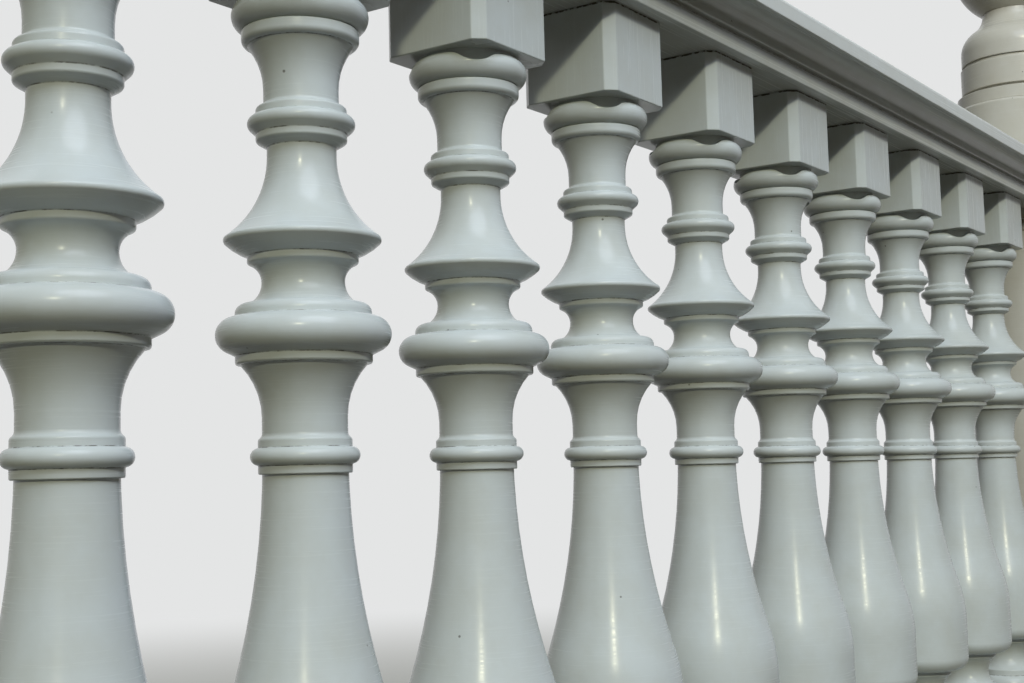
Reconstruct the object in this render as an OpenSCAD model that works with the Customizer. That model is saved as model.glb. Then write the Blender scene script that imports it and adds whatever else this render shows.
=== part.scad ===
// Turned balustrade: one whole bay of twelve balusters between two round newel posts.
// X runs along the rail, Y across it and Z up. The origin lies on the floor below the bay's centre.
// Every turned piece is a profile of radius against height, spun about its own axis.

/* [Bay] */
// Number of balusters between the two newel posts
baluster_count = 12; // [4:1:16]
// Distance between the axes of neighbouring balusters
baluster_pitch = 180; // [150:5:260]
// Clear gap between the last baluster's blocks and the newel's shaft
post_gap = 90; // [60:5:140]
// Joint left where a rail is scribed round a newel
scribe_gap = 0.3; // [0.2:0.1:0.8]

/* [Baluster blocks] */
// Side of the square block at each end of a baluster
block_side = 90; // [80:1:100]
// Chamfer on the four upright arrises of a block
block_chamfer = 8; // [3:0.5:12]
// Height of the block under the handrail
top_block_h = 74.5; // [50:0.5:110]
// Height of the block on the bottom rail
foot_block_h = 73.5; // [50:0.5:110]

/* [Lobed bead under the top block] */
// Radius over the lobed bead
lobe_r = 43.9; // [41:0.1:46]
// Height of the lobed bead
lobe_h = 20.2; // [17:0.2:24]
// Radius of the plain neck that stands behind the lobes
lobe_neck_r = 37; // [34:0.5:38]
// Gap between the top of the lobes and the underside of the block
lobe_gap = 1.2; // [1:0.1:4]
// Depth of the four dips below the top of the lobes
dip_depth = 9.2; // [5:0.2:10]
// Radius of the hollow at the bottom of a dip
dip_r = 18; // [14:0.5:20]
// Radius of the crests between the dips
crest_r = 30; // [24:0.5:32]

/* [Upper turning] */
// Radius of the fillet under the lobed bead
cap_fillet_r = 37.6; // [36:0.2:41]
// Height of the fillet under the lobed bead
cap_fillet_h = 9.4; // [7:0.2:11]
// Rounding of that fillet's lower arris
cap_fillet_round = 4; // [1:0.5:6]
// Height of the hollow between the upper neck and that fillet
cap_cove_h = 28; // [24:0.2:38]
// Radius of the upper neck
upper_neck_r = 24; // [20:0.5:27]
// Height of the straight part of the upper neck
upper_neck_h = 8.8; // [5:0.2:15]
// Radius of the two fillets of the collar
collar_fillet_r = 29; // [26:0.2:31]
// Height over which the collar's upper fillet eases into the neck
collar_ease_h = 5.2; // [4.4:0.2:8]
// Radius of the round part of that easing
collar_ease_r = 2.4; // [1:0.2:3]
// Height of the plain part of the collar's upper fillet
collar_upper_h = 3.7; // [2:0.1:8]
// Radius over the collar's bead
collar_bead_r = 34.3; // [32:0.1:38]
// Height of the collar's bead
collar_bead_h = 9.8; // [8:0.2:13]
// Distance below the collar's bead at which its splayed underside ends
collar_bead_splay_h = 2; // [0.5:0.1:2.5]
// Height of the collar's lower fillet
collar_lower_h = 6.4; // [5:0.1:9]
// Height of the splay under that fillet
collar_splay_h = 4; // [2:0.1:6]
// Radius of the neck above the flared disc
flare_neck_r = 22.1; // [19:0.1:26]
// Height of the straight part of that neck
flare_neck_h = 5.3; // [4:0.1:10]

/* [Flared disc and belly] */
// Radius over the rim of the flared disc
disc_r = 49.8; // [44:0.2:56]
// Height of the sweep from the neck out to the rim
flare_h = 52.8; // [44:0.2:64]
// Thickness of the disc's blunt rim
rim_h = 2.6; // [1.6:0.2:5]
// Height of the rounded underside of the disc
disc_under_h = 9.1; // [6:0.1:11]
// Radius of that underside's rounding
disc_under_round = 40; // [30:1:60]
// Radius of the fillet under the disc
disc_fillet_r = 35.1; // [33:0.1:38]
// Height of the fillet under the disc
disc_fillet_h = 4.3; // [3:0.1:10]
// Smallest radius of the hollow under the disc
waist_r = 26.2; // [23:0.2:29]
// Height of the hollow from its narrowest point up to the fillet
waist_upper_h = 12; // [9:0.5:15]
// Height of the hollow from the ovolo up to its narrowest point
waist_lower_h = 13.8; // [11:0.2:18]
// Radius at the foot of the hollow, on top of the belly
waist_foot_r = 34.6; // [32:0.2:36]
// Height of the upright edge on top of the belly's bead
ovolo_edge_h = 2.4; // [1:0.2:4]
// Height and width of the ovolo on that edge
ovolo_h = 6; // [4:0.2:7]
// Radius of the belly's plain core, seen above and below its bead
belly_r = 43; // [42:0.1:45]
// Radius over the belly's bead
belly_bead_r = 55.2; // [52:0.2:60]
// Height of the belly's bead
belly_bead_h = 22.4; // [19:0.2:26]
// Distance below the belly's bead at which its splayed underside ends
belly_bead_splay_h = 1.8; // [0.5:0.1:2.5]
// Height of the plain edge under the belly's bead
belly_edge_h = 7.4; // [6:0.2:10]
// Rounding of that edge's lower arris
belly_edge_round = 1.5; // [0.5:0.5:2.5]

/* [Throat and ring] */
// Radius of the throat between the belly and the ring
throat_r = 26.8; // [24:0.2:28.6]
// Radius at which the throat's sweep meets the belly
throat_top_r = 40; // [37:0.2:41]
// Height of the throat's sweep
throat_h = 33.2; // [28:0.2:42]
// Height of the straight throat above the ring
throat_neck_h = 9.6; // [6:0.2:16]
// Radius of the ring's two fillets
ring_fillet_r = 29.4; // [27.8:0.2:31]
// Height over which the ring's upper fillet eases into the throat
ring_ease_h = 5; // [3:0.2:8]
// Radius of the round part of that easing
ring_ease_r = 2.2; // [1:0.2:4]
// Height of the plain part of the ring's upper fillet
ring_upper_h = 4; // [2:0.1:9]
// Radius over the ring's bead
ring_bead_r = 34.3; // [32:0.1:38]
// Height of the ring's bead
ring_bead_h = 11; // [8:0.1:14]
// Height of the ring's lower fillet
ring_lower_h = 5.6; // [4:0.1:10]

/* [Bell and foot] */
// Radius of the bell at its top, where it leaves the ring
bell_top_r = 26.8; // [25:0.2:29]
// Largest radius of the bell
bell_r = 58.6; // [50:0.2:64]
// Depth of the bell's widest point below the ring
bell_widest_h = 205; // [180:1:220]
// Radius of the round shoulder that the long hollow sweep turns into
bell_shoulder_r = 148; // [100:2:200]
// Height of the bell from its foot to the ring's lower fillet
bell_h = 254.6; // [240:1:300]
// Radius of the bell's rounded foot
bell_foot_round = 16; // [8:1:20]
// Radius of the fillet on either side of the hollow below the bell
scotia_fillet_r = 37.7; // [35:0.2:40]
// Height of each of those two fillets
scotia_fillet_h = 5; // [3:0.5:8]
// Smallest radius of the hollow below the bell
scotia_r = 27; // [24:0.5:30]
// Height of the hollow below the bell
scotia_h = 38; // [32:1:50]
// Radius over the bead on the foot block
foot_bead_r = 44.5; // [42:0.5:46]
// Height of the bead on the foot block
foot_bead_h = 31; // [22:1:36]

/* [Handrail] */
// Width of the board that lies on the blocks
board_w = 117.4; // [110:0.2:124]
// Thickness of that board
board_h = 14; // [10:0.5:20]
// Depth of the groove between a board and its moulding
quirk_d = 3.5; // [2:0.5:6]
// Height of that groove
quirk_h = 4; // [2.5:0.5:6]
// Width over the band above the groove
rail_band_w = 124; // [122:0.5:130]
// Height of the band above the groove
rail_band_h = 7.8; // [6:0.2:12]
// Radius of the hollow under the handrail's nose
nose_hollow_r = 13.5; // [10:0.5:14]
// Width over the handrail's two noses
rail_w = 184; // [178:1:186]
// Height of the nose's underside above the band
nose_lift = 8.1; // [6:0.1:10]
// Height of the nose's upright face, up to where its rounding starts
nose_face_h = 13.3; // [9:0.1:18]
// Rounding of the nose's upper arris
nose_round = 5.3; // [3:0.1:9]
// Rise of the handrail's crowned top above its noses
crown_h = 7.5; // [4:0.5:14]

/* [Bottom rail] */
// Width of the bottom rail on the floor
sill_w = 184; // [150:1:186]
// Height of the bottom rail's upright edge
sill_edge_h = 34.2; // [24:0.2:50]
// Radius on the bottom rail's upper edge
sill_round = 9; // [4:0.5:10]
// Radius of the hollow between the edge and the band
sill_cove_r = 15; // [10:0.5:18]

/* [Newel post] */
// Radius of the newel's shaft
shaft_r = 80; // [70:1:86]
// Radius of the drums that receive the rails
drum_r = 95; // [93:0.5:105]
// Height of the foot drum, from the floor
foot_drum_h = 118; // [100:1:180]
// Depth of the upper drum below the handrail's underside
drum_drop = 16; // [10:1:40]
// Height of the upper drum above the handrail's underside
drum_rise = 176; // [110:1:220]
// Rounding of a drum's edge
drum_round = 5; // [3:0.5:10]
// Radius over the bead between a drum and the shaft
post_bead_r = 89; // [84:0.5:92]
// Height of the bead between a drum and the shaft
post_bead_h = 18; // [12:1:26]
// Widening of the shaft at each end
shaft_flare = 4; // [1:0.5:6]
// Height over which the shaft widens
shaft_flare_h = 26; // [12:1:40]
// Radius of the narrow ring on the upper drum
post_fillet_r = 90; // [86:0.5:92]
// Height of the narrow ring on the upper drum
post_fillet_h = 20; // [12:1:26]
// Radius of the wide band above it
post_band_r = 83; // [80:0.5:86]
// Height of the wide band
post_band_h = 42; // [26:1:50]
// Height of the fine grooves under and over the band
post_groove_h = 5.5; // [4:0.5:10]
// Depth of those fine grooves
post_groove_d = 5; // [3:0.5:8]
// Radius at the foot of the newel's swept shoulder
post_shoulder_r = 81; // [76:0.5:84]
// Height of the plain edge under the swept shoulder
post_shoulder_edge_h = 20; // [10:1:30]
// Height of the swept shoulder
post_shoulder_h = 64; // [50:1:80]
// Radius of the round part at the foot of the swept shoulder
post_shoulder_round = 40; // [25:1:50]
// Radius of the neck under the ball
ball_neck_r = 45; // [38:1:52]
// Radius of the ball
ball_r = 87; // [75:1:95]

/* [Hidden] */
$fn = 96;
paint = "#c6cdcd";
rail_paint = "#c9cecc";
post_paint = "#cbc9bf";
// Rise of the crests between the dips over the bead's own top, so that the lobes stay whole
dip_clear = 0.3;
// Overlap of two arcs that flow into each other, so that they cross instead of only touching
blend = 0.05;
// Distance by which a cutting shape runs past the surface that it cuts
cut_margin = 1;

// Heights above the floor, from the bottom rail up through a baluster
band_top_z = sill_edge_h + sill_cove_r + rail_band_h;
bottom_board_z = band_top_z + quirk_h;
z_foot_block = bottom_board_z + board_h;
z_foot_bead = z_foot_block + foot_block_h;
z_scotia = z_foot_bead + foot_bead_h;
z_bell = z_scotia + scotia_h + 2 * scotia_fillet_h;
z_ring_lower = z_bell + bell_h;
z_ring_bead = z_ring_lower + ring_lower_h;
z_ring_upper = z_ring_bead + ring_bead_h;
z_ring_ease = z_ring_upper + ring_upper_h;
z_throat_neck = z_ring_ease + ring_ease_h;
z_throat = z_throat_neck + throat_neck_h;
z_belly = z_throat + throat_h;
z_belly_bead = z_belly + belly_edge_h;
z_ovolo = z_belly_bead + belly_bead_h;
z_waist_lower = z_ovolo + ovolo_edge_h + ovolo_h;
z_waist_upper = z_waist_lower + waist_lower_h;
z_disc_fillet = z_waist_upper + waist_upper_h;
z_disc = z_disc_fillet + disc_fillet_h;
z_rim = z_disc + disc_under_h;
z_flare = z_rim + rim_h;
z_flare_neck = z_flare + flare_h;
z_collar_lower = z_flare_neck + flare_neck_h + collar_splay_h;
z_collar_bead = z_collar_lower + collar_lower_h;
z_collar_upper = z_collar_bead + collar_bead_h;
z_collar_ease = z_collar_upper + collar_upper_h;
z_upper_neck = z_collar_ease + collar_ease_h;
z_cap_cove = z_upper_neck + upper_neck_h;
z_cap_fillet = z_cap_cove + cap_cove_h;
z_lobe = z_cap_fillet + cap_fillet_h;
z_lobe_top = z_lobe + lobe_h;
z_top_block = z_lobe_top + lobe_gap;
soffit_z = z_top_block + top_block_h;

// Places along the bay
baluster_span = (baluster_count - 1) * baluster_pitch;
post_x = baluster_span / 2 + block_side / 2 + post_gap + shaft_r;

// Heights of the newel's pieces
z_post_base = foot_drum_h;
z_shaft = z_post_base + post_bead_h;
z_drum = soffit_z - drum_drop;
z_shaft_top = z_drum - post_bead_h;
z_post_fillet = soffit_z + drum_rise;
z_post_band = z_post_fillet + post_fillet_h;
z_post_shoulder = z_post_band + 2 * post_groove_h + post_band_h;
z_ball_neck = z_post_shoulder + post_shoulder_edge_h + post_shoulder_h;
ball_z = z_ball_neck + sqrt(ball_r * ball_r - ball_neck_r * ball_neck_r);

function two_digits(i) = i < 10 ? str("0", i) : str(i);
function baluster_name(i) = str("baluster_", two_digits(i));
function post_name(side, piece) = str(side, "_post_", piece);
POST_SIDES = ["left", "right"];
POST_PIECES = ["foot_drum", "base_bead", "shaft", "rail_drum", "neck_band", "shoulder", "ball"];
RAIL_NODES = ["bottom_rail", "bottom_board", "rail_board", "handrail"];
BALUSTER_NODES = [for (i = [1:baluster_count]) baluster_name(i)];
POST_NODES = [for (side = POST_SIDES, piece = POST_PIECES) post_name(side, piece)];

// Members of a turned profile: x is the radius, y the height

// Straight member
module band(z, h, r) {
    translate([0, z]) square([r, h]);
}

// Half-round member that reaches radius r
module bead(z, h, r) {
    band(z, h, r - h / 2);
    translate([r - h / 2, z + h / 2]) circle(r = h / 2);
}

// Straight splay between two radii
module splay(z, h, r_low, r_high) {
    polygon([[0, z], [r_low, z], [r_high, z + h], [0, z + h]]);
}

// Half-round member whose underside runs on straight, in to radius r_foot at `drop` below it
module splayed_bead(z, h, r, r_foot, drop) {
    rise = drop + h / 2;
    run = r - h / 2 - r_foot;
    slope = atan2(rise, run) - asin(h / 2 / norm([rise, run]));
    reach = sqrt(rise * rise + run * run - h * h / 4);
    touch_h = reach * sin(slope);
    splay(z - drop, touch_h, r_foot, r_foot + reach * cos(slope));
    intersection() {
        bead(z, h, r);
        band(z - drop + touch_h, h + cut_margin, r + cut_margin);
    }
}

// Radius of an arc that leaves its neck upright and moves out by dr over dz
function sweep_radius(dz, dr) = (dz * dz + dr * dr) / (2 * dr);

// Hollow member, upright at its foot and widening to the top
module sweep_up(z, h, r_neck, r_end) {
    arc = sweep_radius(h, r_end - r_neck);
    difference() {
        band(z, h, r_end);
        translate([r_neck + arc, z]) circle(r = arc);
    }
}

// Hollow member, upright at its top and widening to the foot
module sweep_down(z, h, r_neck, r_end) {
    arc = sweep_radius(h, r_end - r_neck);
    difference() {
        band(z, h, r_end);
        translate([r_neck + arc, z + h]) circle(r = arc);
    }
}

// Quarter-round shoulder, upright at its foot
module shoulder(z, h, r) {
    band(z, h, r - h);
    intersection() {
        band(z, h, r);
        translate([r - h, z]) circle(r = h);
    }
}

// Quarter-round foot, upright at its top
module rounded_foot(z, h, r) {
    band(z, h, r - h);
    intersection() {
        band(z, h, r);
        translate([r - h, z + h]) circle(r = h);
    }
}

// Saucer-shaped underside: an arc of radius r_round from r_low out to r_high
module saucer(z, h, r_low, r_high, r_round) {
    width = r_high - r_low;
    chord = norm([width, h]);
    lift = sqrt(r_round * r_round - chord * chord / 4);
    band(z, h, r_low);
    intersection() {
        band(z, h, r_high);
        translate([r_low + width / 2 - lift * h / chord, z + h / 2 + lift * width / chord])
            circle(r = r_round);
    }
}

// Ogee, upright at both ends: a hollow sweep from the neck at its top, then a round part
module ogee(z, h, r_neck, r_foot, r_round) {
    turn = 2 * atan((r_foot - r_neck) / h);
    hollow = h / sin(turn) - r_round;
    z_turn = z + r_round * sin(turn);
    r_turn = r_foot - r_round * (1 - cos(turn));
    difference() {
        band(z_turn, z + h - z_turn, r_turn);
        translate([r_neck + hollow, z + h]) circle(r = hollow, $fn = 360);
    }
    band(z, z_turn - z, r_turn);
    intersection() {
        band(z, z_turn - z, r_foot);
        translate([r_foot - r_round, z]) circle(r = r_round, $fn = 180);
    }
}

// Bell: an ogee that starts behind the ring, a plain stretch and a rounded foot
module bell_profile() {
    z_start = z_ring_bead + ring_bead_h / 2;
    z_widest = z_start - bell_widest_h;
    ogee(z_widest, bell_widest_h, bell_top_r, bell_r, bell_shoulder_r);
    band(z_bell + bell_foot_round, z_widest - z_bell - bell_foot_round, bell_r);
    rounded_foot(z_bell, bell_foot_round, bell_r);
}

// Everything turned between a baluster's two blocks, apart from the lobed bead
module turned_profile() {
    bead(z_foot_bead, foot_bead_h, foot_bead_r);
    band(z_scotia, scotia_fillet_h, scotia_fillet_r);
    sweep_down(z_scotia + scotia_fillet_h, scotia_h / 2, scotia_r, scotia_fillet_r);
    sweep_up(z_scotia + scotia_fillet_h + scotia_h / 2, scotia_h / 2, scotia_r, scotia_fillet_r);
    band(z_bell - scotia_fillet_h, scotia_fillet_h, scotia_fillet_r);
    bell_profile();
    band(z_ring_lower, ring_lower_h, ring_fillet_r);
    bead(z_ring_bead, ring_bead_h, ring_bead_r);
    band(z_ring_upper, ring_upper_h, ring_fillet_r);
    ogee(z_ring_ease, ring_ease_h, throat_r, ring_fillet_r, ring_ease_r);
    band(z_throat_neck, throat_neck_h, throat_r);
    sweep_up(z_throat, throat_h, throat_r, throat_top_r);
    rounded_foot(z_belly, belly_edge_round, belly_r);
    band(z_belly + belly_edge_round, belly_edge_h - belly_edge_round + belly_bead_h, belly_r);
    splayed_bead(z_belly_bead, belly_bead_h, belly_bead_r, belly_r, belly_bead_splay_h);
    band(z_ovolo, ovolo_edge_h, belly_r);
    shoulder(z_ovolo + ovolo_edge_h, ovolo_h, belly_r);
    sweep_down(z_waist_lower, waist_lower_h, waist_r, waist_foot_r);
    sweep_up(z_waist_upper, waist_upper_h, waist_r, disc_fillet_r);
    band(z_disc_fillet, disc_fillet_h, disc_fillet_r);
    saucer(z_disc, disc_under_h, disc_fillet_r, disc_r, disc_under_round);
    band(z_rim, rim_h, disc_r);
    sweep_down(z_flare, flare_h, flare_neck_r, disc_r);
    band(z_flare_neck, flare_neck_h, flare_neck_r);
    splay(z_collar_lower - collar_splay_h, collar_splay_h, flare_neck_r, collar_fillet_r);
    band(z_collar_lower, collar_lower_h + collar_bead_h, collar_fillet_r);
    splayed_bead(z_collar_bead, collar_bead_h, collar_bead_r, collar_fillet_r, collar_bead_splay_h);
    band(z_collar_upper, collar_upper_h, collar_fillet_r);
    ogee(z_collar_ease, collar_ease_h, upper_neck_r, collar_fillet_r, collar_ease_r);
    band(z_upper_neck, upper_neck_h, upper_neck_r);
    sweep_up(z_cap_cove, cap_cove_h, upper_neck_r, cap_fillet_r - cap_fillet_round);
    rounded_foot(z_cap_fillet, cap_fillet_round, cap_fillet_r);
    band(z_cap_fillet + cap_fillet_round, cap_fillet_h - cap_fillet_round, cap_fillet_r);
    band(z_lobe, lobe_h + lobe_gap, lobe_neck_r);
}

// Square block with chamfered upright arrises
module block(h) {
    half = block_side / 2;
    cut = half - block_chamfer;
    linear_extrude(height = h)
        polygon([
            [half, -cut], [half, cut], [cut, half], [-cut, half],
            [-half, cut], [-half, -cut], [-cut, -half], [cut, -half]
        ]);
}

// Outline of one dip, seen along the block's diagonal: a hollow that turns into rounded crests
module dip_outline() {
    crest_z = z_lobe_top + dip_clear;
    floor_z = z_lobe_top - dip_depth;
    turn = acos(1 - (crest_z - floor_z) / (dip_r + crest_r));
    turn_z = floor_z + dip_r * (1 - cos(turn));
    half_w = (dip_r + crest_r) * sin(turn);
    difference() {
        translate([-half_w, floor_z - cut_margin])
            square([2 * half_w, z_top_block - floor_z + cut_margin]);
        difference() {
            translate([-half_w - cut_margin, floor_z - 2 * cut_margin])
                square([2 * (half_w + cut_margin), turn_z - floor_z + 2 * cut_margin]);
            translate([0, floor_z + dip_r]) circle(r = dip_r);
        }
        for (side = [-1, 1])
            translate([side * half_w, crest_z - crest_r]) circle(r = crest_r + blend);
    }
}

// Bead whose top dips under each corner of the block, leaving four lobes
module lobed_bead() {
    difference() {
        rotate_extrude() bead(z_lobe, lobe_h, lobe_r);
        for (corner = [45:90:315])
            rotate([0, 0, corner]) rotate([90, 0, 90]) linear_extrude(height = 2 * lobe_r) dip_outline();
    }
}

module baluster() {
    color(paint) {
        translate([0, 0, z_foot_block]) block(foot_block_h);
        rotate_extrude() turned_profile();
        lobed_bead();
        translate([0, 0, z_top_block]) block(top_block_h);
    }
}

// Board between the blocks and a rail's mouldings
module board(z) {
    translate([-board_w / 2, z]) square([board_w, board_h]);
}

// Groove that sets a moulding off from its board
module quirk(z) {
    translate([quirk_d - board_w / 2, z]) square([board_w - 2 * quirk_d, quirk_h]);
}

// Plain band beside a groove
module rail_band(z) {
    translate([-rail_band_w / 2, z]) square([rail_band_w, rail_band_h]);
}

// Section of the handrail: groove, band, hollow, upright noses and a crowned top
module handrail_section() {
    z_quirk = soffit_z + board_h;
    z_band = z_quirk + quirk_h;
    z_body = z_band + rail_band_h;
    z_face = z_body + nose_lift;
    z_nose = z_face + nose_face_h;
    nose_y = rail_w / 2 - nose_round;
    hollow_y = rail_band_w / 2 + nose_hollow_r;
    quirk(z_quirk);
    rail_band(z_band);
    difference() {
        union() {
            translate([-hollow_y, z_body]) square([2 * hollow_y, nose_lift]);
            translate([-rail_w / 2, z_face]) square([rail_w, nose_face_h]);
        }
        for (side = [-1, 1])
            translate([side * hollow_y, z_body]) circle(r = nose_hollow_r);
    }
    for (side = [-1, 1])
        translate([side * nose_y, z_nose]) circle(r = nose_round);
    crown(z_nose, nose_y);
}

// Crowned top: an arc that flows into both noses
module crown(z_nose, nose_y) {
    rise = crown_h + blend;
    drop = (nose_y * nose_y - rise * rise) / (2 * rise);
    crown_r = drop + nose_round + crown_h;
    intersection() {
        translate([-nose_y, z_nose]) square([2 * nose_y, nose_round + crown_h + cut_margin]);
        translate([0, z_nose - drop]) circle(r = crown_r, $fn = 360);
    }
}

// Section of the bottom rail: upright edge with a rounded arris, hollow, band and groove
module bottom_rail_section() {
    half = sill_w / 2;
    cove_y = rail_band_w / 2 + sill_cove_r;
    z_cove = sill_edge_h + sill_cove_r;
    translate([-half, 0]) square([sill_w, sill_edge_h - sill_round]);
    translate([sill_round - half, 0]) square([sill_w - 2 * sill_round, sill_edge_h]);
    for (side = [-1, 1])
        translate([side * (half - sill_round), sill_edge_h - sill_round]) circle(r = sill_round);
    difference() {
        translate([-cove_y, sill_edge_h]) square([2 * cove_y, sill_cove_r]);
        for (side = [-1, 1])
            translate([side * cove_y, z_cove]) circle(r = sill_cove_r);
    }
    rail_band(z_cove);
    quirk(z_cove + rail_band_h);
}

// A section run from newel to newel, with both ends scribed round the drums
module run_between_posts() {
    difference() {
        rotate([90, 0, 90])
            translate([0, 0, -post_x]) linear_extrude(height = 2 * post_x) children();
        for (side = [-1, 1])
            translate([side * post_x, 0, -cut_margin]) cylinder(r = drum_r + scribe_gap, h = z_post_fillet);
    }
}

module bottom_rail() {
    color(rail_paint) run_between_posts() bottom_rail_section();
}

module bottom_board() {
    color(rail_paint) run_between_posts() board(bottom_board_z);
}

module rail_board() {
    color(rail_paint) run_between_posts() board(soffit_z);
}

module handrail() {
    color(rail_paint) run_between_posts() handrail_section();
}

// Drum that receives the bottom rail
module foot_drum() {
    band(0, foot_drum_h - drum_round, drum_r);
    shoulder(foot_drum_h - drum_round, drum_round, drum_r);
}

// Bead between the foot drum and the shaft
module base_bead() {
    bead(z_post_base, post_bead_h, post_bead_r);
}

// Shaft, slightly widened at both ends, with the bead under the upper drum
module shaft() {
    r_end = shaft_r + shaft_flare;
    sweep_down(z_shaft, shaft_flare_h, shaft_r, r_end);
    band(z_shaft + shaft_flare_h, z_shaft_top - z_shaft - 2 * shaft_flare_h, shaft_r);
    sweep_up(z_shaft_top - shaft_flare_h, shaft_flare_h, shaft_r, r_end);
    bead(z_shaft_top, post_bead_h, post_bead_r);
}

// Drum that receives the handrail
module rail_drum() {
    band(z_drum, z_post_fillet - drum_round - z_drum, drum_r);
    shoulder(z_post_fillet - drum_round, drum_round, drum_r);
}

// Narrow ring and wide band with a fine groove on each side of the band
module neck_band() {
    groove_r = post_band_r - post_groove_d;
    band(z_post_fillet, post_fillet_h, post_fillet_r);
    band(z_post_band, post_groove_h, groove_r);
    band(z_post_band + post_groove_h, post_band_h, post_band_r);
    band(z_post_band + post_groove_h + post_band_h, post_groove_h, groove_r);
}

// Shoulder that sweeps in to the neck under the ball
module post_shoulder() {
    band(z_post_shoulder, post_shoulder_edge_h, post_shoulder_r);
    ogee(z_ball_neck - post_shoulder_h, post_shoulder_h, ball_neck_r, post_shoulder_r, post_shoulder_round);
}

// Ball, cut level where it sits on the neck
module ball() {
    intersection() {
        translate([0, 0, ball_z]) sphere(r = ball_r);
        translate([0, 0, z_ball_neck]) cylinder(r = 2 * ball_r, h = 2 * ball_r);
    }
}

// One piece of a newel, named as in POST_PIECES
module post_piece(piece) {
    if (piece == "ball") ball();
    else rotate_extrude() {
        if (piece == "foot_drum") foot_drum();
        if (piece == "base_bead") base_bead();
        if (piece == "shaft") shaft();
        if (piece == "rail_drum") rail_drum();
        if (piece == "neck_band") neck_band();
        if (piece == "shoulder") post_shoulder();
    }
}

bottom_rail();
bottom_board();
rail_board();
handrail();
for (i = [1:baluster_count])
    translate([(i - 1) * baluster_pitch - baluster_span / 2, 0, 0]) baluster();
for (side = POST_SIDES, piece = POST_PIECES)
    color(post_paint) translate([side == "left" ? -post_x : post_x, 0, 0]) post_piece(piece);
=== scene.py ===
"""Turned and painted balustrade: one bay of twelve balusters between two round newel posts.

Shapes are drawn in millimetres and scaled to metres when each piece is finished.
X runs along the rail, Y across it and Z up. The bay's outer side faces -Y.
"""

from math import acos, asin, atan, atan2, ceil, cos, degrees, hypot, pi, radians, sin, sqrt

import bmesh
import bpy
from mathutils import Matrix, Vector


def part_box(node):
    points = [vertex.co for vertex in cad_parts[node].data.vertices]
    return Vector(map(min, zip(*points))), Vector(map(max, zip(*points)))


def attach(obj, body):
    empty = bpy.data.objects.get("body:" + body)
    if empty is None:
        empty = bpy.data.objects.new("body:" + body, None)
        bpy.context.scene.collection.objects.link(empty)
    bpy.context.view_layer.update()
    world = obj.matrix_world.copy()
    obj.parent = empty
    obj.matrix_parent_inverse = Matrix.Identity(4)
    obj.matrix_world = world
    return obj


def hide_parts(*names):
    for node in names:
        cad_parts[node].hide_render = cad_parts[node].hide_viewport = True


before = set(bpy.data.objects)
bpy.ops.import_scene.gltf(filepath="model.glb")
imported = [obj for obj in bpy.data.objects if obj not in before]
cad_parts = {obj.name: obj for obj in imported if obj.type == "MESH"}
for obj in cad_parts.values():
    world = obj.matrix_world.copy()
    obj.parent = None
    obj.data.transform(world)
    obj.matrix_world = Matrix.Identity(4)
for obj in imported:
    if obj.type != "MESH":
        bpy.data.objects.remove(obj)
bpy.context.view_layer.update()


# The balusters.
# Each is one square length of softwood, turned between two blocks that are left square.
# The turner leaves crisp fillets and beads, and several coats of paint soften every corner.

MM = 0.001
TURNS = 96
ARC_STEP = 9
LONG_ARC_STEP = 2.0
LONG_ARC_RADIUS = 60
LEAST_ARC_STEPS = 3
SHORT_EDGE = 0.7
# Points closer than WELD are merged, and places closer than NEAR count as the same
WELD = 0.001
NEAR = 0.01

baluster_count = 12
block_side, block_chamfer, block_arris = 90, 8, 0.9
# How far up a block's end its dark joint line reaches and how dark it is: dirt together with
# painted shade
joint_dirt_and_shade_h, joint_dirt_and_shade = 2.2, 4
foot_block_h, top_block_h = 73.5, 74.5
foot_bead_r, foot_bead_h = 44.5, 31
scotia_fillet_r, scotia_fillet_h = 37.7, 5
scotia_r, scotia_h = 27, 38
bell_r, bell_foot_round, bell_h = 58.6, 16, 254.6
bell_top_r, bell_shoulder_r, bell_widest_h = 26.8, 148, 205
ring_fillet_r, ring_lower_h, ring_upper_h = 29.4, 5.6, 4
ring_bead_r, ring_bead_h = 34.3, 11
ring_ease_h, ring_ease_r = 5, 2.2
throat_r, throat_neck_h = 26.8, 9.6
throat_top_r, throat_h = 40, 33.2
belly_r, belly_edge_h, belly_edge_round = 43, 7.4, 1.5
belly_bead_r, belly_bead_h, belly_bead_splay_h = 55.2, 22.4, 1.8
ovolo_edge_h, ovolo_h = 2.4, 6
waist_foot_r, waist_r, waist_lower_h, waist_upper_h = 34.6, 26.2, 13.8, 12
disc_fillet_r, disc_fillet_h = 35.1, 4.3
disc_r, disc_under_h, disc_under_round, rim_h = 49.8, 9.1, 40, 2.6
flare_neck_r, flare_h, flare_neck_h = 22.1, 52.8, 5.3
collar_fillet_r, collar_splay_h, collar_lower_h, collar_upper_h = 29, 4, 6.4, 3.7
collar_bead_r, collar_bead_h, collar_bead_splay_h = 34.3, 9.8, 2
collar_ease_h, collar_ease_r = 5.2, 2.4
upper_neck_r, upper_neck_h = 24, 8.8
cap_fillet_r, cap_cove_h, cap_fillet_h, cap_fillet_round = 37.6, 28, 9.4, 4
lobe_r, lobe_h, lobe_neck_r, lobe_gap = 43.9, 20.2, 37, 1.2
dip_depth, dip_r, crest_r, dip_clear = 9.2, 18, 30, 0.3
dip_ring_r = lobe_r - 3
lip_r, lip_steps = 0.9, 4
arris_round, crease_round, round_steps = 1.0, 0.6, 3
crease_reach = 0.9 * crease_round
corner_angle, sharp_angle = radians(20), radians(38)


def outline(r, z):
    """A new outline that starts at radius r and height z."""
    wire = bmesh.new()
    wire.verts.layers.float.new("crease")
    wire.verts.layers.int.new("lip")
    wire.verts.new((r, 0, z))
    wire.verts.ensure_lookup_table()
    return wire


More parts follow.
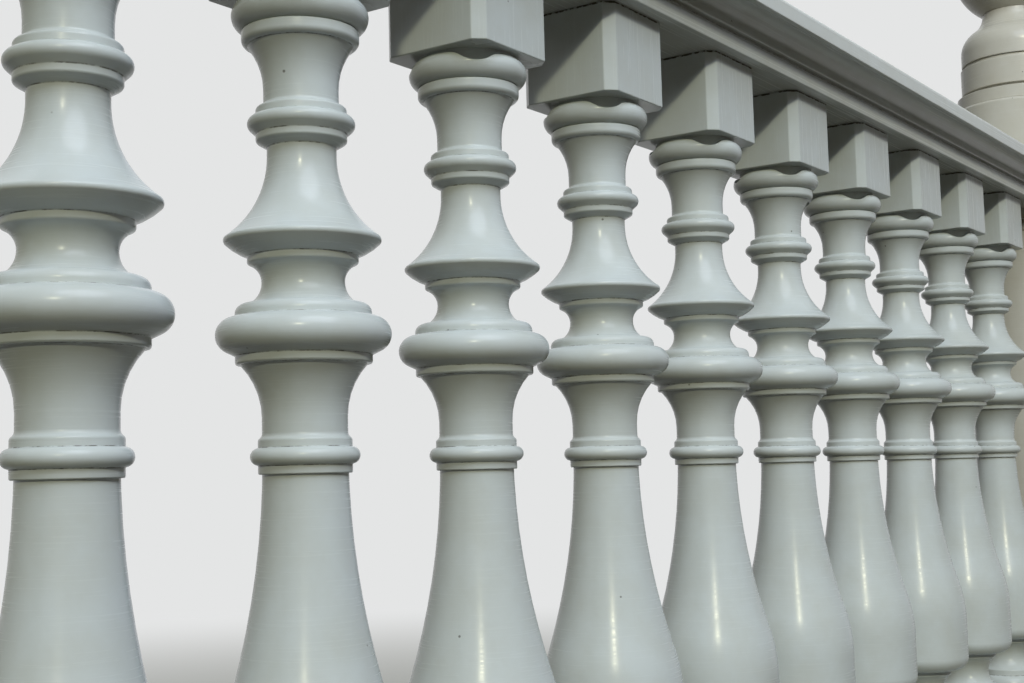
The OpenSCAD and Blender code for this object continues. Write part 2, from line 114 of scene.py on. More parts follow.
def line(wire, r, z):
    """Carries the outline on by a straight edge to radius r and height z."""
    end = wire.verts[-1]
    goal = Vector((r, 0, z))
    if (end.co - goal).length > SHORT_EDGE:
        bmesh.ops.extrude_vert_indiv(wire, verts=[end])
        wire.verts.ensure_lookup_table()
    wire.verts[-1].co = goal


def arc(wire, centre_r, centre_z, turn):
    """Carries the outline on round a centre, by turn degrees, anticlockwise with Z up."""
    end = wire.verts[-1]
    radius = hypot(end.co.x - centre_r, end.co.z - centre_z)
    step = LONG_ARC_STEP if radius > LONG_ARC_RADIUS else ARC_STEP
    steps = min(ceil(abs(turn) / step), int(radius * radians(abs(turn)) / SHORT_EDGE))
    bmesh.ops.spin(
        wire, geom=[end], cent=(centre_r, 0, centre_z), axis=(0, -1, 0),
        angle=radians(turn), steps=max(LEAST_ARC_STEPS, steps), use_duplicate=False,
    )
    wire.verts.ensure_lookup_table()


def height(wire):
    """Height that an outline has come to."""
    return wire.verts[-1].co.z


def band(wire, r, h):
    """Straight member."""
    z = height(wire)
    line(wire, r, z)
    line(wire, r, z + h)


def bead(wire, r, h, r_below, r_above):
    """Half-round member between neighbours of two given radii."""
    z = height(wire)
    half = h / 2
    centre = r - half
    below = max(r_below - centre, 0)
    above = max(r_above - centre, 0)
    start = asin(sqrt(half ** 2 - below ** 2) / half)
    end = asin(sqrt(half ** 2 - above ** 2) / half)
    line(wire, centre + below, z + half - half * sin(start))
    arc(wire, centre, z + half, degrees(start + end))


def splayed_bead(wire, r, h, r_foot, drop):
    """Half-round member whose underside runs on straight, in to radius r_foot at drop below it."""
    z = height(wire)
    half = h / 2
    rise, run = drop + half, r - half - r_foot
    slope = atan2(rise, run) - asin(half / hypot(rise, run))
    reach = sqrt(rise ** 2 + run ** 2 - half ** 2)
    line(wire, r_foot + reach * cos(slope), z + reach * sin(slope))
    arc(wire, r - half, z + rise, 180 - degrees(slope))


def sweep_radius(dz, dr):
    """Radius of an arc that leaves its neck upright and moves out by dr over dz."""
    return (dz ** 2 + dr ** 2) / (2 * dr)


def hollow_out(wire, r_neck, r_end, h):
    """Hollow member, upright at its foot and widening to its top."""
    z = height(wire)
    radius = sweep_radius(h, r_end - r_neck)
    line(wire, r_neck, z)
    arc(wire, r_neck + radius, z, -degrees(asin(h / radius)))


def hollow_in(wire, r_end, r_neck, h):
    """Hollow member, narrowing from its foot and upright at its top."""
    z = height(wire)
    radius = sweep_radius(h, r_end - r_neck)
    line(wire, r_end, z)
    arc(wire, r_neck + radius, z + h, -degrees(asin(h / radius)))


def shoulder(wire, r, h):
    """Quarter round, upright at its foot."""
    z = height(wire)
    line(wire, r, z)
    arc(wire, r - h, z, 90)


def rounded_foot(wire, r, h):
    """Quarter round, upright at its top."""
    z = height(wire)
    line(wire, r - h, z)
    arc(wire, r - h, z + h, 90)


def saucer(wire, r_low, r_high, h, r_round):
    """Rounded underside of a dish."""
    z = height(wire)
    width = r_high - r_low
    chord = hypot(width, h)
    lift = sqrt(r_round ** 2 - chord ** 2 / 4)
    line(wire, r_low, z)
    centre_r = r_low + width / 2 - lift * h / chord
    arc(wire, centre_r, z + h / 2 + lift * width / chord, degrees(2 * asin(chord / (2 * r_round))))


def ogee(wire, r_foot, r_neck, h, r_round):
    """A round part and a hollow sweep that flow together, upright at both ends."""
    z = height(wire)
    turn = 2 * atan((r_foot - r_neck) / h)
    hollow = h / sin(turn) - r_round
    line(wire, r_foot, z)
    arc(wire, r_foot - r_round, z, degrees(turn))
    arc(wire, r_neck + hollow, z + h, -degrees(turn))


def corner_turn(v):
    """How far the outline turns at a vertex: over zero outwards, under zero into a crease."""
    before, after = (edge.other_vert(v) for edge in sorted(v.link_edges, key=lambda e: e.index))
    way_in, way_out = v.co - before.co, after.co - v.co
    return atan2(way_in.x * way_out.z - way_in.z * way_out.x, way_in.dot(way_out))


def soften(wire):
    """Rounds every corner of the outline, as paint does, and marks the bottoms of its creases."""
    wire.edges.index_update()
    mark = wire.verts.layers.float["crease"]
    inner = [v for v in wire.verts if len(v.link_edges) == 2]
    turns = [(v, corner_turn(v)) for v in inner]
    arrises = [v for v, turn in turns if turn > corner_angle]
    creases = [v for v, turn in turns if turn < -corner_angle]
    bottoms = [v.co.copy() for v in creases]
    for corners, radius in ((arrises, arris_round), (creases, crease_round)):
        bmesh.ops.bevel(
            wire, geom=corners, offset=radius, offset_type="OFFSET", segments=round_steps,
            profile=0.5, affect="VERTICES", clamp_overlap=False, material=-1,
        )
    # The mark darkens the crease bottoms with dirt together with painted shade
    for v in wire.verts:
        if any((v.co - bottom).length < crease_reach for bottom in bottoms):
            v[mark] = 1


def turn_on_lathe(wire):
    """Spins the outline about the Z axis and closes its poles."""
    bmesh.ops.spin(
        wire, geom=wire.verts[:] + wire.edges[:], cent=(0, 0, 0), axis=(0, 0, 1),
        angle=2 * pi, steps=TURNS, use_merge=True, use_duplicate=False,
    )
    bmesh.ops.remove_doubles(wire, verts=wire.verts, dist=WELD)


def baluster_outline(z):
    """Outline from the top of the foot block, at height z, to the foot of the lobed bead."""
    wire = outline(foot_bead_r - foot_bead_h / 2, z)
    bead(wire, foot_bead_r, foot_bead_h, 0, scotia_fillet_r)
    band(wire, scotia_fillet_r, z + foot_bead_h + scotia_fillet_h - height(wire))
    hollow_in(wire, scotia_fillet_r, scotia_r, scotia_h / 2)
    hollow_out(wire, scotia_r, scotia_fillet_r, scotia_h / 2)
    band(wire, scotia_fillet_r, scotia_fillet_h)
    z_bell = height(wire)
    ring_middle = z_bell + bell_h + ring_lower_h + ring_bead_h / 2
    rounded_foot(wire, bell_r, bell_foot_round)
    band(wire, bell_r, ring_middle - bell_widest_h - height(wire))
    ogee(wire, bell_r, bell_top_r, bell_widest_h, bell_shoulder_r)
    # The bell's sweep would run on behind the ring
    while wire.verts[-2].co.z > z_bell + bell_h:
        bmesh.ops.delete(wire, geom=[wire.verts[-1]], context="VERTS")
        wire.verts.ensure_lookup_table()
    line(wire, wire.verts[-1].co.x, z_bell + bell_h)
    band(wire, ring_fillet_r, ring_lower_h)
    bead(wire, ring_bead_r, ring_bead_h, ring_fillet_r, ring_fillet_r)
    band(wire, ring_fillet_r, ring_middle + ring_bead_h / 2 + ring_upper_h - height(wire))
    ogee(wire, ring_fillet_r, throat_r, ring_ease_h, ring_ease_r)
    band(wire, throat_r, throat_neck_h)
    hollow_out(wire, throat_r, throat_top_r, throat_h)
    rounded_foot(wire, belly_r, belly_edge_round)
    band(wire, belly_r, belly_edge_h - belly_edge_round - belly_bead_splay_h)
    splayed_bead(wire, belly_bead_r, belly_bead_h, belly_r, belly_bead_splay_h)
    band(wire, belly_r, ovolo_edge_h)
    shoulder(wire, belly_r, ovolo_h)
    hollow_in(wire, waist_foot_r, waist_r, waist_lower_h)
    hollow_out(wire, waist_r, disc_fillet_r, waist_upper_h)
    band(wire, disc_fillet_r, disc_fillet_h)
    saucer(wire, disc_fillet_r, disc_r, disc_under_h, disc_under_round)
    band(wire, disc_r, rim_h)
    hollow_in(wire, disc_r, flare_neck_r, flare_h)
    band(wire, flare_neck_r, flare_neck_h)
    line(wire, collar_fillet_r, height(wire) + collar_splay_h)
    band(wire, collar_fillet_r, collar_lower_h - collar_bead_splay_h)
    splayed_bead(wire, collar_bead_r, collar_bead_h, collar_fillet_r, collar_bead_splay_h)
    band(wire, collar_fillet_r, collar_upper_h)
    ogee(wire, collar_fillet_r, upper_neck_r, collar_ease_h, collar_ease_r)
    band(wire, upper_neck_r, upper_neck_h)
    hollow_out(wire, upper_neck_r, cap_fillet_r - cap_fillet_round, cap_cove_h)
    rounded_foot(wire, cap_fillet_r, cap_fillet_round)
    band(wire, cap_fillet_r, cap_fillet_h - cap_fillet_round)
    return wire


def add_lobed_bead(wire):
    """Carries the outline over the lobed bead to the block, with points to spare for its lip."""
    z = height(wire)
    bead(wire, lobe_r, lobe_h, 0, lobe_neck_r)
    soften(wire)
    wire.verts.ensure_lookup_table()
    end = max(wire.verts, key=lambda v: v.co.z)
    lip = wire.verts.layers.int["lip"]
    for step in range(1, lip_steps + 2):
        end = bmesh.ops.extrude_vert_indiv(wire, verts=[end])["verts"][0]
        end.co.z += NEAR
        end[lip] = step
    end = bmesh.ops.extrude_vert_indiv(wire, verts=[end])["verts"][0]
    end.co.z = z + lobe_h + lobe_gap
    end[lip] = 0


def dip_height(t):
    """Height of a dip's edge over the bead's top, at distance t from the block's diagonal."""
    turn = acos(1 - (dip_depth + dip_clear) / (dip_r + crest_r))
    t = abs(t)
    if t < dip_r * sin(turn):
        return dip_r - dip_depth - sqrt(dip_r ** 2 - t ** 2)
    from_crest = max((dip_r + crest_r) * sin(turn) - t, 0)
    return dip_clear - crest_r + sqrt(crest_r ** 2 - from_crest ** 2)


def carve_lobes(mesh, z_block):
    """Cuts the bead's top down under each corner of the block, with a rounded lip."""
    lip = mesh.verts.layers.int["lip"]
    half = lobe_h / 2
    centre_r, centre_z = lobe_r - half, z_block - lobe_gap - half
    neck_turn = acos((lobe_neck_r - centre_r) / half)
    for v in mesh.verts:
        r = hypot(v.co.x, v.co.y)
        below, inside = v.co.z <= centre_z, r < lobe_neck_r - NEAR
        if not v[lip] and (below or inside or v.co.z > z_block - lobe_gap):
            continue
        spin = atan2(v.co.y, v.co.x)
        off_diagonal = (spin % (pi / 2)) - pi / 4
        edge = half + dip_height(dip_ring_r * sin(off_diagonal))
        lip_turn = min(asin(min((edge - lip_r) / (half - lip_r), 1)), neck_turn)
        if v[lip] == 0:
            turn = atan2(v.co.z - centre_z, r - centre_r) * lip_turn / neck_turn
            r, z = centre_r + half * cos(turn), half * sin(turn)
        elif v[lip] <= lip_steps:
            turn = lip_turn + (pi / 2 - lip_turn) * v[lip] / lip_steps
            r = centre_r + (half - lip_r) * cos(lip_turn) + lip_r * cos(turn)
            z = edge - lip_r + lip_r * sin(turn)
        else:
            r, z = lobe_neck_r, edge
        r = max(r, lobe_neck_r)
        v.co = (r * cos(spin), r * sin(spin), centre_z + z)


def square_block(z_low, z_high, open_side):
    """A square block with chamfered uprights, open where the turning grows out of it."""
    block = bmesh.new()
    bmesh.ops.create_cube(block, size=1)
    bmesh.ops.scale(block, vec=(block_side, block_side, z_high - z_low), verts=block.verts)
    bmesh.ops.translate(block, vec=(0, 0, (z_low + z_high) / 2), verts=block.verts)
    uprights = [e for e in block.edges if abs(e.verts[0].co.z - e.verts[1].co.z) > NEAR]
    bmesh.ops.bevel(
        block, geom=uprights, offset=block_chamfer, offset_type="OFFSET", segments=1, profile=0.5,
        affect="EDGES", material=-1,
    )
    bmesh.ops.bevel(
        block, geom=block.edges[:], offset=block_arris, segments=round_steps, profile=0.5,
        affect="EDGES", material=-1,
    )
    joint = max(block.faces, key=lambda f: f.normal.z * open_side * f.calc_area())
    bmesh.ops.delete(block, geom=[joint], context="FACES_ONLY")
    for face in block.faces:
        face.material_index = 1
    return block


def add_block(mesh, block, z_joint):
    """Joins a block's open side to the ring where the turning ends."""
    part = bpy.data.meshes.new("block")
    block.to_mesh(part)
    block.free()
    mesh.from_mesh(part)
    bpy.data.meshes.remove(part)
    rim = [
        e for e in mesh.edges
        if e.is_boundary and all(abs(v.co.z - z_joint) < NEAR for v in e.verts)
    ]
    bmesh.ops.bridge_loops(mesh, edges=rim)


def mark_joint_dirt_and_shade(mesh, z_end, z_edge):
    """Marks a block's end for a dark joint line with a board, dirt with painted shade of the gap,
    fading out at z_edge.
    """
    bmesh.ops.bisect_plane(
        mesh, geom=mesh.verts[:] + mesh.edges[:] + mesh.faces[:], dist=WELD,
        plane_co=(0, 0, z_edge), plane_no=(0, 0, 1),
    )
    mark = mesh.verts.layers.float["crease"]
    for v in mesh.verts:
        if abs(v.co.z - z_end) < abs(z_edge - z_end) - NEAR:
            v[mark] = joint_dirt_and_shade


def finish_shape(mesh):
    """Scales a shape to metres, turns its faces outwards and sets which edges look sharp."""
    bmesh.ops.scale(mesh, vec=(MM, MM, MM), verts=mesh.verts)
    bmesh.ops.recalc_face_normals(mesh, faces=mesh.faces)
    for face in mesh.faces:
        face.smooth = True
    for edge in mesh.edges:
        edge.smooth = edge.calc_face_angle(0) < sharp_angle


def set_piece(mesh, name, materials, node, x=0):
    """Makes an object of a finished shape, x metres along the bay, in the CAD node's stead."""
    data = bpy.data.meshes.new(name)
    mesh.to_mesh(data)
    data.transform(Matrix.Translation((x, 0, 0)))
    piece = bpy.data.objects.new(name, data)
    bpy.context.collection.objects.link(piece)
    for material in materials:
        data.materials.append(material)
    weighted = piece.modifiers.new("even shading", "WEIGHTED_NORMAL")
    weighted.keep_sharp = True
    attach(piece, "root")
    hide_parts(node)


def colour(text):
    """An sRGB hex colour as the linear values that a shader takes."""
    parts = [int(text[i:i + 2], 16) / 255 for i in (1, 3, 5)]
    return [p / 12.92 if p <= 0.04045 else ((p + 0.055) / 1.055) ** 2.4 for p in parts] + [1]


def add(material, kind, settings=None, **inputs):
    """Adds a node. An input is a value, or a pair of a node and its output's name.

    An input's own name stands for it, with _ for each space, or _ and its number.
    """
    tree = material.node_tree
    node = tree.nodes.new(kind)
    for key, value in (settings or {}).items():
        setattr(node, key, value)
    for key, value in inputs.items():
        socket = node.inputs[int(key[1:])] if key[0] == "_" else node.inputs[key.replace("_", " ")]
        if isinstance(value, tuple) and isinstance(value[0], bpy.types.Node):
            tree.links.new(value[0].outputs[value[1]], socket)
        else:
            socket.default_value = value
    return node


# In millimetres: how large the paint's clouds are and the breaks in its dark crease lines, how far
# its specks lie apart, how wide and deep its swells are, and how deep the strokes of the brush are
cloud_size, dirt_and_shade_break_size, speck_spacing = 45, 9, 34
swell_size, swell_depth, stroke_depth = 14, 0.25, 0.06
# The dark hue serves the specks, which are dirt, and the crease lines, which are dirt and painted
# shade
cloud_tint, dirt_and_shade_hue = (0.93, 0.915, 0.88), "#4a453a"


def satin_paint(name, hue, strokes):
    """Satin oil paint on softwood, brushed on in several coats.

    It clouds a little, keeps the marks of the brush, holds dirt and painted shade in its creases in
    broken hairlines and carries a few dark specks. strokes holds how many strokes there are to a
    millimetre along X, Y and Z.
    """
    material = bpy.data.materials.new(name)
    material.use_nodes = True
    tree = material.node_tree
    shader = tree.nodes["Principled BSDF"]
    place = add(material, "ShaderNodeTexCoord")
    at = (place, "Object")

    # Clouding of the coat, a few centimetres across
    cloud = add(
        material, "ShaderNodeTexNoise", Vector=at, Scale=1 / (cloud_size * MM), Detail=5,
        Roughness=0.6,
    )
    clouded = add(
        material, "ShaderNodeMapRange", Value=(cloud, "Fac"), From_Min=0.35, From_Max=0.7,
    )
    hues = add(
        material, "ShaderNodeMix", {"data_type": "RGBA"}, _0=(clouded, "Result"), _6=colour(hue),
        _7=[c * tint for c, tint in zip(colour(hue), cloud_tint)] + [1],
    )

    # Hairlines at the bottoms of the creases, dirt together with painted shade, broken every
    # centimetre or two
    crease = add(material, "ShaderNodeAttribute", {"attribute_name": "crease"})
    ragged = add(
        material, "ShaderNodeTexNoise", Vector=at, Scale=1 / (dirt_and_shade_break_size * MM), Detail=4,
        Roughness=0.7,
    )
    gaps = add(
        material, "ShaderNodeMapRange", Value=(ragged, "Fac"), From_Min=0.44, From_Max=0.62,
        To_Min=0.1, To_Max=0.9,
    )
    hairline = add(
        material, "ShaderNodeMath", {"operation": "MULTIPLY"},
        _0=(crease, "Fac"), _1=(gaps, "Result"),
    )

    # Specks up to about 2 mm across, where the surface cuts through a scatter of small balls
    scatter = add(material, "ShaderNodeTexVoronoi", Vector=at, Scale=1 / (speck_spacing * MM))
    speck = add(
        material, "ShaderNodeMapRange", {"interpolation_type": "SMOOTHSTEP"},
        Value=(scatter, "Distance"), From_Min=0.036, From_Max=0.018, To_Min=0.0, To_Max=0.7,
    )
    # Specks of dirt, and crease lines of dirt with painted shade, darken the paint
    dirt_and_shade = add(
        material, "ShaderNodeMath", {"operation": "MAXIMUM"},
        _0=(hairline, "Value"), _1=(speck, "Result"),
    )
    soiled_and_shaded = add(
        material, "ShaderNodeMix", {"data_type": "RGBA"}, _0=(dirt_and_shade, "Value"), _6=(hues, 2),
        _7=colour(dirt_and_shade_hue),
    )
    tree.links.new(soiled_and_shaded.outputs[2], shader.inputs["Base Color"])

    # Strokes of the brush, which follow the piece
    stretch = add(material, "ShaderNodeMapping", Vector=at)
    stretch.inputs["Scale"].default_value = [s / MM for s in strokes]
    stroke = add(
        material, "ShaderNodeTexNoise", Vector=(stretch, "Vector"), Scale=1, Detail=3,
        Roughness=0.6,
    )
    sheen = add(
        material, "ShaderNodeMapRange", Value=(stroke, "Fac"), From_Min=0.3, From_Max=0.7,
        To_Min=0.19, To_Max=0.3,
    )
    tree.links.new(sheen.outputs["Result"], shader.inputs["Roughness"])
    bump = add(
        material, "ShaderNodeBump", Strength=0.3, Distance=stroke_depth * MM,
        Height=(stroke, "Fac"),
    )
    # The coat isn't quite level over a centimetre or two
    swell = add(material, "ShaderNodeTexNoise", Vector=at, Scale=1 / (swell_size * MM), Detail=2)
    uneven = add(
        material, "ShaderNodeBump", Strength=0.5, Distance=swell_depth * MM,
        Height=(swell, "Fac"), Normal=(bump, "Normal"),
    )
    tree.links.new(uneven.outputs["Normal"], shader.inputs["Normal"])
    # Weather has dulled the coat, so that it reflects less than fresh oil paint
    shader.inputs["IOR"].default_value = 1.48
    shader.inputs["Specular IOR Level"].default_value = 0.25
    return material


turned_paint = satin_paint("satin_paint_turned", "#c6cdcd", (0.02, 0.02, 0.9))
block_paint = satin_paint("satin_paint_blocks", "#c6cdcd", (0.5, 0.5, 0.02))

first_low, first_high = (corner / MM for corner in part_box("baluster_01"))
z_turned = first_low.z + foot_block_h
z_block = first_high.z - top_block_h
shape = baluster_outline(z_turned)
add_lobed_bead(shape)
turn_on_lathe(shape)
carve_lobes(shape, z_block)
add_block(shape, square_block(first_low.z, z_turned, 1), z_turned)
add_block(shape, square_block(z_block, first_high.z, -1), z_block)
# Dark lines where the blocks meet the boards: dirt in the joints together with painted shade of the
# gaps
mark_joint_dirt_and_shade(shape, first_low.z, first_low.z + joint_dirt_and_shade_h)
mark_joint_dirt_and_shade(shape, first_high.z, first_high.z - joint_dirt_and_shade_h)
finish_shape(shape)
for number in range(1, baluster_count + 1):
    node = f"baluster_{number:02d}"
    low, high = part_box(node)
    set_piece(
        shape, f"turned_{node}", [turned_paint, block_paint], node,
        (low.x + high.x) / 2,
    )
shape.free()


# The rails.
# The bottom rail and the handrail are planed mouldings, each with a plain board towards the blocks.
# All four run from newel to newel in one length, with their ends scribed to the round drums.

board_w = 117.4
quirk_d, quirk_h = 3.5, 4
rail_band_w, rail_band_h = 124, 7.8
nose_hollow_r, nose_lift = 13.5, 8.1
rail_w, nose_face_h, nose_round, crown_h = 184, 13.3, 5.3, 7.5
sill_w, sill_edge_h, sill_round, sill_cove_r = 184, 34.2, 9, 15
drum_r, scribe_gap = 95, 0.3
slice_w = 6

post_low, post_high = (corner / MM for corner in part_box("right_post_rail_drum"))
post_x = round((post_low.x + post_high.x) / 2, 1)


def moulding(wire):
    """Closes half a section over the middle, runs it along X and scribes its ends to the drums."""
    soften(wire)
    bmesh.ops.mirror(wire, geom=wire.verts[:] + wire.edges[:], axis="X", merge_dist=NEAR)
    bmesh.ops.remove_doubles(wire, verts=wire.verts, dist=NEAR)
    across = Matrix.Rotation(pi / 2, 3, "Z")
    bmesh.ops.rotate(wire, cent=(0, 0, 0), matrix=across, verts=wire.verts)
    bmesh.ops.translate(wire, vec=(-post_x, 0, 0), verts=wire.verts)
    section = bmesh.ops.contextual_create(wire, geom=wire.edges[:])["faces"]
    run = bmesh.ops.extrude_face_region(wire, geom=section)["geom"]
    far_end = [g for g in run if isinstance(g, bmesh.types.BMVert)]
    bmesh.ops.translate(wire, vec=(2 * post_x, 0, 0), verts=far_end)
    # Cuts along its length let each end follow the curve of its drum
    half = ceil(rail_w / 2 / slice_w) * slice_w
    for cut in range(-half, half + 1, slice_w):
        bmesh.ops.bisect_plane(
            wire, geom=wire.verts[:] + wire.edges[:] + wire.faces[:], dist=WELD,
            plane_co=(0, cut, 0), plane_no=(0, 1, 0),
        )
    reach = drum_r + scribe_gap
    for v in wire.verts:
        end = 1 if v.co.x > 0 else -1
        v.co.x = end * (post_x - sqrt(reach ** 2 - v.co.y ** 2))
    finish_shape(wire)
    return wire


def board_section(z, h):
    """Plain square edge, from the middle outwards and back."""
    wire = outline(0, z)
    line(wire, board_w / 2, z)
    line(wire, board_w / 2, z + h)
    line(wire, 0, z + h)
    return wire


def handrail_section(z):
    """Groove, band, hollow, upright nose and crowned top, from the middle outwards and back."""
    wire = outline(0, z)
    line(wire, board_w / 2 - quirk_d, z)
    line(wire, board_w / 2 - quirk_d, z + quirk_h)
    band(wire, rail_band_w / 2, rail_band_h)
    z_body = height(wire)
    z_nose = z_body + nose_lift + nose_face_h
    hollow_turn = degrees(asin(nose_lift / nose_hollow_r)) - 180
    arc(wire, rail_band_w / 2 + nose_hollow_r, z_body, hollow_turn)
    line(wire, rail_w / 2, z_body + nose_lift)
    line(wire, rail_w / 2, z_nose)
    nose_y = rail_w / 2 - nose_round
    drop = (nose_y ** 2 - crown_h ** 2) / (2 * crown_h)
    lean = atan2(nose_y, drop)
    arc(wire, nose_y, z_nose, degrees(pi / 2 - lean))
    arc(wire, 0, z_nose - drop, degrees(lean))
    return wire


def bottom_rail_section():
    """Upright edge with a rounded arris, hollow, band and groove."""
    half = sill_w / 2
    wire = outline(0, 0)
    line(wire, half, 0)
    line(wire, half, sill_edge_h - sill_round)
    arc(wire, half - sill_round, sill_edge_h - sill_round, 90)
    cove_y = rail_band_w / 2 + sill_cove_r
    line(wire, cove_y, sill_edge_h)
    arc(wire, cove_y, sill_edge_h + sill_cove_r, -90)
    line(wire, rail_band_w / 2, sill_edge_h + sill_cove_r + rail_band_h)
    quirk_y = board_w / 2 - quirk_d
    line(wire, quirk_y, height(wire))
    line(wire, quirk_y, height(wire) + quirk_h)
    line(wire, 0, height(wire))
    return wire


rail_paint = satin_paint("satin_paint_rails", "#c9cecc", (0.004, 0.5, 0.5))

board_low, board_high = (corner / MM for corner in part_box("bottom_board"))
upper_low, upper_high = (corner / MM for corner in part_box("rail_board"))
sections = {
    "bottom_rail": bottom_rail_section(),
    "bottom_board": board_section(board_low.z, board_high.z - board_low.z),
    "rail_board": board_section(upper_low.z, upper_high.z - upper_low.z),
    "handrail": handrail_section(upper_high.z),
}
for node, wire in sections.items():
    set_piece(moulding(wire), f"painted_{node}", [rail_paint], node)
    wire.free()


# The newel posts.
# Each is built up from turned drums, rings and a shaft, with a turned ball on a swept neck.
# They are painted like the rest, in a slightly warmer and darker white.

foot_drum_h, drum_round = 118, 5
post_bead_r, post_bead_h = 89, 18
shaft_r, shaft_flare, shaft_flare_h = 80, 4, 26
post_fillet_r, post_fillet_h = 90, 20
post_band_r, post_band_h = 83, 42
post_groove_h, post_groove_d = 5.5, 5
post_shoulder_r, post_shoulder_edge_h = 81, 20
post_shoulder_h, post_shoulder_round = 64, 40
ball_neck_r, ball_r = 45, 87


# Each turning goes on from its foot, and is told the height of its top, which some don't need
def foot_drum(wire, top):
    band(wire, drum_r, top - drum_round - height(wire))
    shoulder(wire, drum_r, drum_round)


def base_bead(wire, top):
    bead(wire, post_bead_r, post_bead_h, 0, 0)


def shaft(wire, top):
    hollow_in(wire, shaft_r + shaft_flare, shaft_r, shaft_flare_h)
    band(wire, shaft_r, top - post_bead_h - shaft_flare_h - height(wire))
    hollow_out(wire, shaft_r, shaft_r + shaft_flare, shaft_flare_h)
    bead(wire, post_bead_r, post_bead_h, shaft_r + shaft_flare, 0)


def neck_band(wire, top):
    band(wire, post_fillet_r, post_fillet_h)
    band(wire, post_band_r - post_groove_d, post_groove_h)
    band(wire, post_band_r, post_band_h)
    band(wire, post_band_r - post_groove_d, post_groove_h)


def swept_shoulder(wire, top):
    band(wire, post_shoulder_r, post_shoulder_edge_h)
    ogee(wire, post_shoulder_r, ball_neck_r, post_shoulder_h, post_shoulder_round)


def ball(wire, top):
    line(wire, ball_neck_r, height(wire))
    centre = top - ball_r
    start = atan2(height(wire) - centre, ball_neck_r)
    arc(wire, 0, centre, 90 - degrees(start))


post_paint = satin_paint("satin_paint_posts", "#c3c1b7", (0.01, 0.01, 0.6))

turnings = {
    "foot_drum": foot_drum, "base_bead": base_bead, "shaft": shaft, "rail_drum": foot_drum,
    "neck_band": neck_band, "shoulder": swept_shoulder, "ball": ball,
}
for side, x in (("left", -post_x * MM), ("right", post_x * MM)):
    for part, draw in turnings.items():
        node = f"{side}_post_{part}"
        low, high = (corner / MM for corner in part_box(node))
        wire = outline(0, low.z)
        draw(wire, high.z)
        line(wire, 0, high.z)
        soften(wire)
        turn_on_lathe(wire)
        finish_shape(wire)
        set_piece(wire, f"painted_{node}", [post_paint], node, x)
        wire.free()


# The stage.
# A pale floor runs out into a pale surround. A broad lamp high in front on the left stands for
# the open sky, with a low sun from the left and a little light from above, beside and behind.

surround = colour("#e4e5e5")
# In metres, as all of the stage
floor_size, fade_start, fade_end = 30, 1.6, 4.0

floor_mesh = bmesh.new()
bmesh.ops.create_grid(floor_mesh, x_segments=1, y_segments=1, size=floor_size)
floor_data = bpy.data.meshes.new("floor")
floor_mesh.to_mesh(floor_data)
floor_mesh.free()
floor = bpy.data.objects.new("floor", floor_data)
bpy.context.collection.objects.link(floor)


def seen_directly(material):
    """One for what the camera, mirrors and glass see, and nought for bounced light."""
    path = add(material, "ShaderNodeLightPath")
    mirrored = add(
        material, "ShaderNodeMath", {"operation": "MAXIMUM"},
        _0=(path, "Is Glossy Ray"), _1=(path, "Is Transmission Ray"),
    )
    return add(
        material, "ShaderNodeMath", {"operation": "MAXIMUM"},
        _0=(path, "Is Camera Ray"), _1=(mirrored, "Value"),
    )


floor_paint = bpy.data.materials.new("pale_floor")
floor_paint.use_nodes = True
floor_tree = floor_paint.node_tree
floor_shader = floor_tree.nodes["Principled BSDF"]
floor_shader.inputs["Roughness"].default_value = 0.9
floor_shader.inputs["Specular IOR Level"].default_value = 0.1
# Bounced light meets a dark ground
floor_seen = seen_directly(floor_paint)
floor_hue = add(
    floor_paint, "ShaderNodeMix", {"data_type": "RGBA"}, _0=(floor_seen, "Value"),
    _6=colour("#4b4132"), _7=colour("#e5e2dc"),
)
floor_tree.links.new(floor_hue.outputs[2], floor_shader.inputs["Base Color"])
# A few metres from the bay the floor fades into the surround
floor_at = add(floor_paint, "ShaderNodeTexCoord")
floor_reach = add(
    floor_paint, "ShaderNodeVectorMath", {"operation": "LENGTH"}, _0=(floor_at, "Object"),
)
floor_fade = add(
    floor_paint, "ShaderNodeMapRange", {"interpolation_type": "SMOOTHSTEP"},
    Value=(floor_reach, "Value"), From_Min=fade_start, From_Max=fade_end,
)
floor_share = add(
    floor_paint, "ShaderNodeMath", {"operation": "MULTIPLY"},
    _0=(floor_fade, "Result"), _1=(floor_seen, "Value"),
)
floor_glow = add(floor_paint, "ShaderNodeEmission", Color=surround)
floor_mix = add(
    floor_paint, "ShaderNodeMixShader", _0=(floor_share, "Value"), _1=(floor_shader, "BSDF"),
    _2=(floor_glow, "Emission"),
)
floor_out = floor_tree.nodes["Material Output"]
floor_tree.links.new(floor_mix.outputs["Shader"], floor_out.inputs["Surface"])
floor_data.materials.append(floor_paint)

world = bpy.data.worlds.new("studio")
bpy.context.scene.world = world
world.use_nodes = True
towards = add(world, "ShaderNodeTexCoord")
split = add(world, "ShaderNodeSeparateXYZ", _0=(towards, "Generated"))


def glow(axis, way, power, hue, strength):
    """Light from one direction that fades towards the sides."""
    facing = add(world, "ShaderNodeMath", {"operation": "MULTIPLY"}, _0=(split, axis), _1=way)
    ahead = add(world, "ShaderNodeMath", {"operation": "MAXIMUM"}, _0=(facing, "Value"), _1=0.0)
    fade = add(world, "ShaderNodeMath", {"operation": "POWER"}, _0=(ahead, "Value"), _1=power)
    tint = [c * strength for c in colour(hue)[:3]]
    return add(
        world, "ShaderNodeVectorMath", {"operation": "MULTIPLY"}, _0=(fade, "Value"), _1=tint,
    )


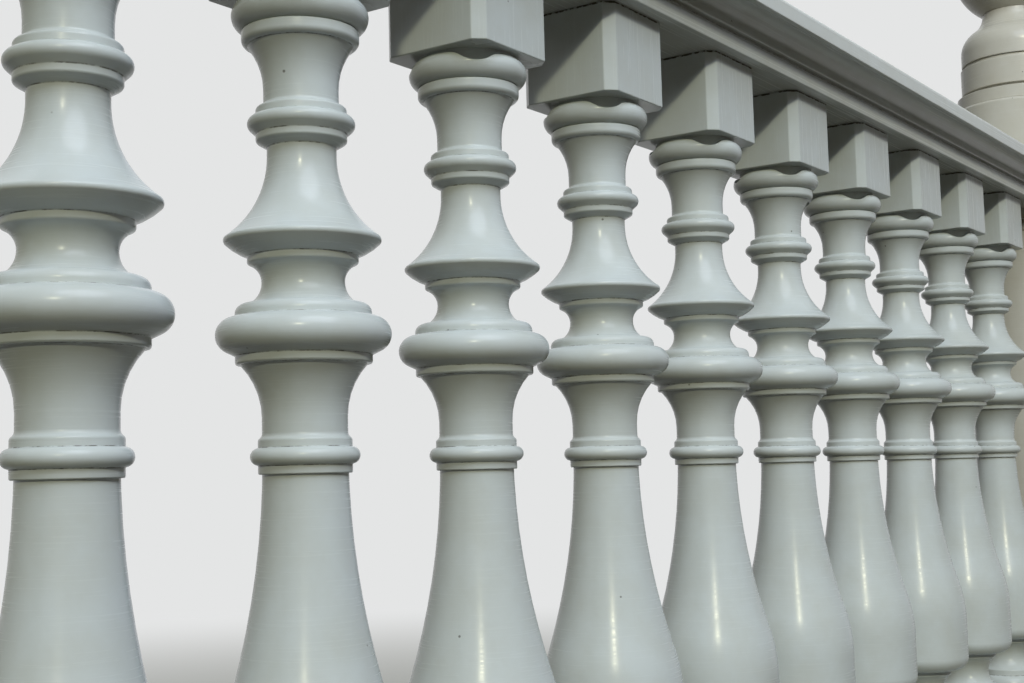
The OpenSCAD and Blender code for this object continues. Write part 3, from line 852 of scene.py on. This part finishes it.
overhead = glow("Z", 1, 2, "#e6f6ff", 0.28)
beside = glow("X", -1, 2, "#fff0cc", 0.10)
behind = glow("Y", 1, 1, "#ffffff", 0.10)
two_glows = add(
    world, "ShaderNodeVectorMath", {"operation": "ADD"},
    _0=(overhead, "Vector"), _1=(beside, "Vector"),
)
glows = add(
    world, "ShaderNodeVectorMath", {"operation": "ADD"},
    _0=(two_glows, "Vector"), _1=(behind, "Vector"),
)
world_seen = seen_directly(world)
sky_mix = add(
    world, "ShaderNodeMix", {"data_type": "RGBA"}, _0=(world_seen, "Value"), _6=(glows, "Vector"),
    _7=surround,
)
sky = world.node_tree.nodes["Background"]
world.node_tree.links.new(sky_mix.outputs[2], sky.inputs["Color"])


def aim(name, kind, at, towards, energy, hue):
    """A lamp at one point, turned towards another."""
    data = bpy.data.lights.new(name, kind)
    data.energy = energy
    data.color = colour(hue)[:3]
    lit = bpy.data.objects.new(name, data)
    bpy.context.collection.objects.link(lit)
    lit.location = at
    lit.rotation_euler = (Vector(towards) - Vector(at)).to_track_quat("-Z", "Y").to_euler()
    return data


sky_lamp = aim("sky_lamp", "AREA", (-1.2, -1.9, 3.2), (0, 0, 0.6), 112, "#e7f0ff")
sky_lamp.shape, sky_lamp.size = "DISK", 2.6
low_sun = aim("low_sun", "SUN", (-4.0, -3.0, 3.033), (0, 0, 0.7), 0.88, "#fffbd6")
low_sun.angle = radians(3)

# The camera stands close to the balusters, a little under half a metre above the floor.
camera_at = Vector((-1.1136, -0.62426, 0.4808))
camera_yaw, camera_pitch, camera_roll = radians(34.980), radians(5.135), radians(1.4628)
camera_data = bpy.data.cameras.new("camera")
camera_data.sensor_width = 36
camera_data.lens = 50.48
camera = bpy.data.objects.new("camera", camera_data)
bpy.context.collection.objects.link(camera)
forward = Vector((
    cos(camera_yaw) * cos(camera_pitch), sin(camera_yaw) * cos(camera_pitch), sin(camera_pitch),
))
level_right = forward.cross(Vector((0, 0, 1))).normalized()
level_down = forward.cross(level_right)
right = cos(camera_roll) * level_right + sin(camera_roll) * level_down
down = cos(camera_roll) * level_down - sin(camera_roll) * level_right
camera_turn = Matrix((right, -down, -forward)).transposed().to_4x4()
camera.matrix_world = Matrix.Translation(camera_at) @ camera_turn
bpy.context.scene.camera = camera
bpy.context.scene.view_settings.view_transform = "Standard"
